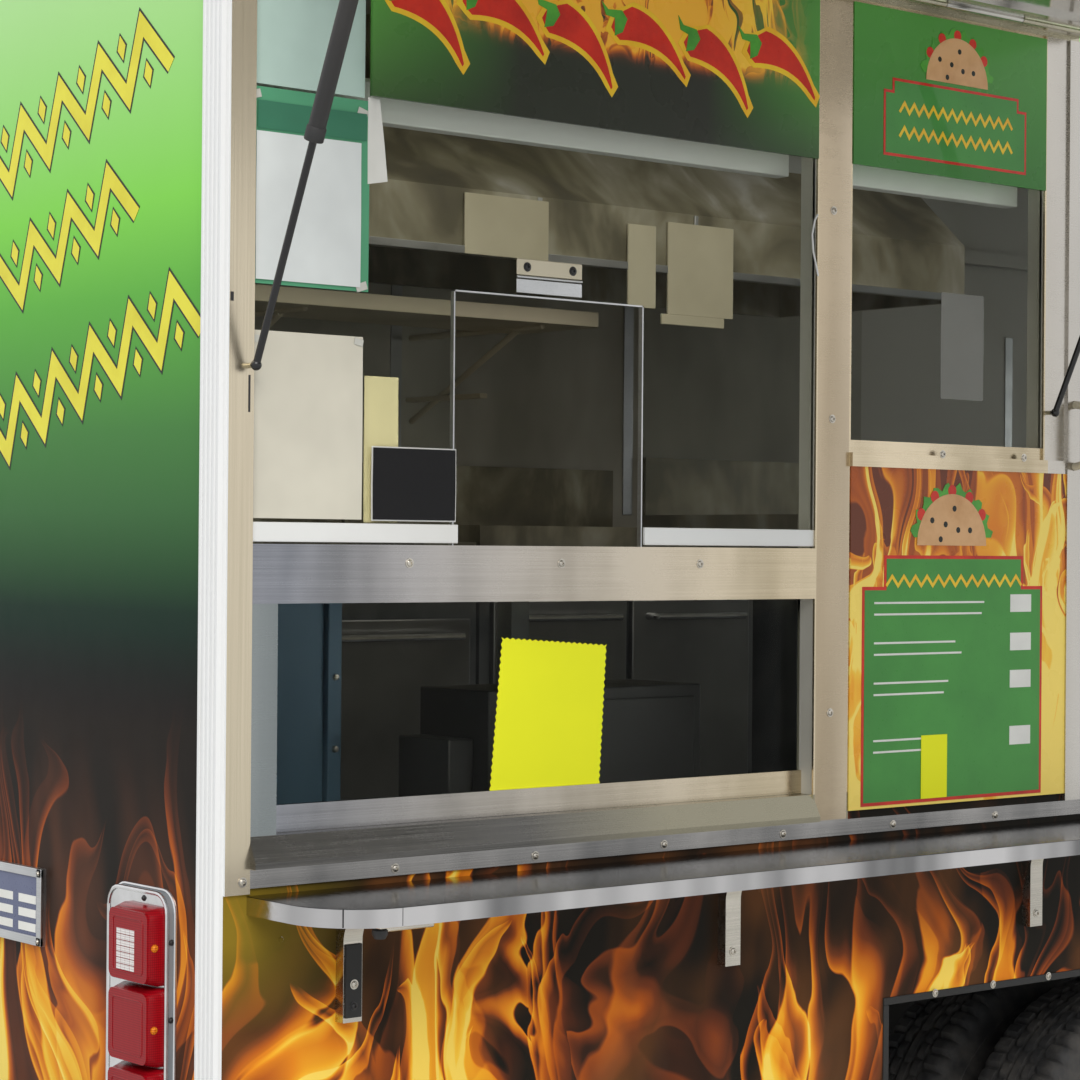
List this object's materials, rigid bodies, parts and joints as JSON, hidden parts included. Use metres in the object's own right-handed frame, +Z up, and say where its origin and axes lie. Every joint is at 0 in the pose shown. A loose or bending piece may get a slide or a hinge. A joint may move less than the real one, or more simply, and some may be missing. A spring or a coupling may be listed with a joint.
{
  "type": "food truck",
  "caption": "Step-van food truck with an open side canopy on gas struts, a glazed service window, a steel shelf, twin rear wheels, steered front wheels and sliding cab doors.",
  "frame": {"origin": "middle of the overall box at road level, the open canopy and the mirrors included", "axes": "+X forward along the truck, +Y to its left, +Z up; the service side faces -Y"},
  "size_m": [7.17, 4.0422, 3.28],
  "materials": {
    "livery": "flame livery over black and green, satin",
    "white_paint": "gloss",
    "black_paint": "satin",
    "stainless": "brushed",
    "mirror_steel": "polished",
    "aluminium": "mill",
    "chrome": "polished",
    "cast_iron": "rough",
    "tyre": "matte",
    "wheel_paint": "satin",
    "glass": "clear",
    "red_lens": "gloss",
    "sign": "gloss",
    "black_plastic": "matte",
    "seat": "matte"
  },
  "bodies": {
    "truck": {"frame": "black_paint", "engine": "cast_iron", "front_axle": "black_paint", "rear_axle": "cast_iron", "leaf_springs": "black_paint", "fuel_tank": "black_paint", "exhaust": "aluminium", "hitch": "black_paint", "rear_bumper": "black_paint", "front_bumper": "black_paint", "floor": "aluminium", "floor_wells": "aluminium", "right_wall": "livery", "left_wall": "livery", "rear_wall": "livery", "roof": "white_paint", "nose": "livery", "firewall": "black_paint", "front_wheel_wells": "black_paint", "windscreen_frame": "livery", "cab_glass": "glass", "corner_trims": "white_paint", "grille": "black_plastic", "headlamps": "chrome", "mirrors": "black_plastic", "tail_lamp_bezels": "chrome", "tail_lamp_lenses": "red_lens", "plate_holder": "aluminium", "window_frame": "stainless", "window_glass": "glass", "sign_panels": "sign", "shelf": "stainless", "shelf_brackets": "stainless", "canopy_rail": "stainless", "service_counter": "stainless", "cook_line": "stainless", "exhaust_hood": "stainless", "roof_fan": "aluminium", "driver_seat": "seat", "dashboard": "black_plastic"},
    "canopy": {"canopy": "mirror_steel"},
    "strut_barrels": {"strut_barrels": "black_paint"},
    "strut_rods": {"strut_rods": "chrome"},
    "steering_wheel": {"steering_wheel": "black_plastic"},
    "door_right": {"door_right": "livery", "door_glass_right": "glass"},
    "door_left": {"door_left": "livery", "door_glass_left": "glass"},
    "rear_door": {"rear_door": "livery"},
    "hood": {"hood": "livery"},
    "knuckle_right": {"knuckle_right": "cast_iron"},
    "knuckle_left": {"knuckle_left": "cast_iron"},
    "wheel_front_right": {"tyre_front_right": "tyre", "rim_front_right": "wheel_paint"},
    "wheel_front_left": {"tyre_front_left": "tyre", "rim_front_left": "wheel_paint"},
    "wheels_rear_right": {"tyres_rear_right": "tyre", "rims_rear_right": "wheel_paint"},
    "wheels_rear_left": {"tyres_rear_left": "tyre", "rims_rear_left": "wheel_paint"}
  },
  "joints": [
    {"name": "canopy_close", "type": "hinge", "parent": "truck", "child": "canopy", "pos_m": [-2.47, -0.62386, 2.59], "axis": [1, 0, 0], "range_deg": [0, 85]},
    {"name": "strut_barrel_turn", "type": "hinge", "parent": "canopy", "child": "strut_barrels", "pos_m": [-2.5025, -0.90213, 2.54658], "axis": [1, 0, 0], "range_deg": [-109.57, 0]},
    {"name": "strut_rod_slide", "type": "slide", "parent": "strut_barrels", "child": "strut_rods", "axis": [0, -0.4122, 0.9111], "range_m": [0, 0.3041]},
    {"name": "steer_left", "type": "hinge", "parent": "truck", "child": "knuckle_left", "pos_m": [2.775, 1.41614, 0.3875], "axis": [0, 0, 1], "range_deg": [-32, 32]},
    {"name": "steer_right", "type": "hinge", "parent": "truck", "child": "knuckle_right", "pos_m": [2.775, -0.21386, 0.3875], "axis": [0, 0, 1], "range_deg": [-32.5, 32.5]},
    {"name": "steering_wheel_turn", "type": "hinge", "parent": "truck", "child": "steering_wheel", "pos_m": [2.365, 1.13614, 1.48], "axis": [-0.6691, 0, 0.7431], "range_deg": [-385, 385]},
    {"name": "door_right_slide", "type": "slide", "parent": "truck", "child": "door_right", "axis": [-1, 0, 0], "range_m": [0, 0.69]},
    {"name": "door_left_slide", "type": "slide", "parent": "truck", "child": "door_left", "axis": [-1, 0, 0], "range_m": [0, 0.69]},
    {"name": "rear_door_swing", "type": "hinge", "parent": "truck", "child": "rear_door", "pos_m": [-3.427, 1.27114, 1.775], "axis": [0, 0, -1], "range_deg": [0, 110]},
    {"name": "hood_lift", "type": "hinge", "parent": "truck", "child": "hood", "pos_m": [3.07892, 0.60114, 1.49665], "axis": [0, -1, 0], "range_deg": [0, 50]},
    {"name": "wheel_front_right_spin", "type": "hinge", "parent": "knuckle_right", "child": "wheel_front_right", "pos_m": [2.775, -0.32886, 0.3875], "axis": [0, 1, 0], "continuous": true},
    {"name": "wheel_front_left_spin", "type": "hinge", "parent": "knuckle_left", "child": "wheel_front_left", "pos_m": [2.775, 1.53114, 0.3875], "axis": [0, 1, 0], "continuous": true},
    {"name": "wheels_rear_right_spin", "type": "hinge", "parent": "truck", "child": "wheels_rear_right", "pos_m": [-1.215, -0.29636, 0.3875], "axis": [0, 1, 0], "continuous": true},
    {"name": "wheels_rear_left_spin", "type": "hinge", "parent": "truck", "child": "wheels_rear_left", "pos_m": [-1.215, 1.49864, 0.3875], "axis": [0, 1, 0], "continuous": true}
  ],
  "couplings": [
    {"joint": "strut_barrel_turn", "follows": "canopy_close", "ratio": -1.2832},
    {"joint": "strut_rod_slide", "follows": "canopy_close", "m_per_rad": 0.20365},
    {"joint": "steer_right", "follows": "steer_left", "ratio": 1},
    {"joint": "steering_wheel_turn", "follows": "steer_left", "ratio": 12}
  ]
}
